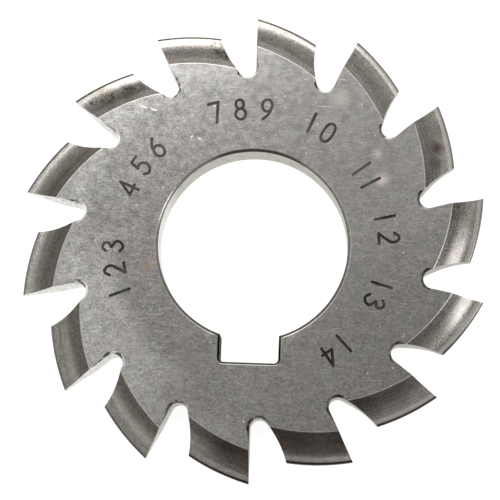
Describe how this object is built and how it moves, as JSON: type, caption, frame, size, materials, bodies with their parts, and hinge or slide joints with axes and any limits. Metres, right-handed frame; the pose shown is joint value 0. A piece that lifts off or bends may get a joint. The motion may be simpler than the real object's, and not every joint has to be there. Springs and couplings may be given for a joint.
{
  "type": "gear milling cutter",
  "caption": "Flat round milling cutter with form-relieved gear teeth, deep rounded gullets and a keyed central bore.",
  "frame": {"origin": "centre of the bore in the lower side face, on which the cutter lies", "axes": "+Z along the bore, out of the marked side face; the keyway is towards -Y"},
  "size_m": [0.0538, 0.055, 0.0052],
  "materials": {
    "cutter_steel": "ground high-speed steel, lightly stained"
  },
  "bodies": {
    "root": {"gear_milling_cutter": "cutter_steel"}
  },
  "joints": []
}
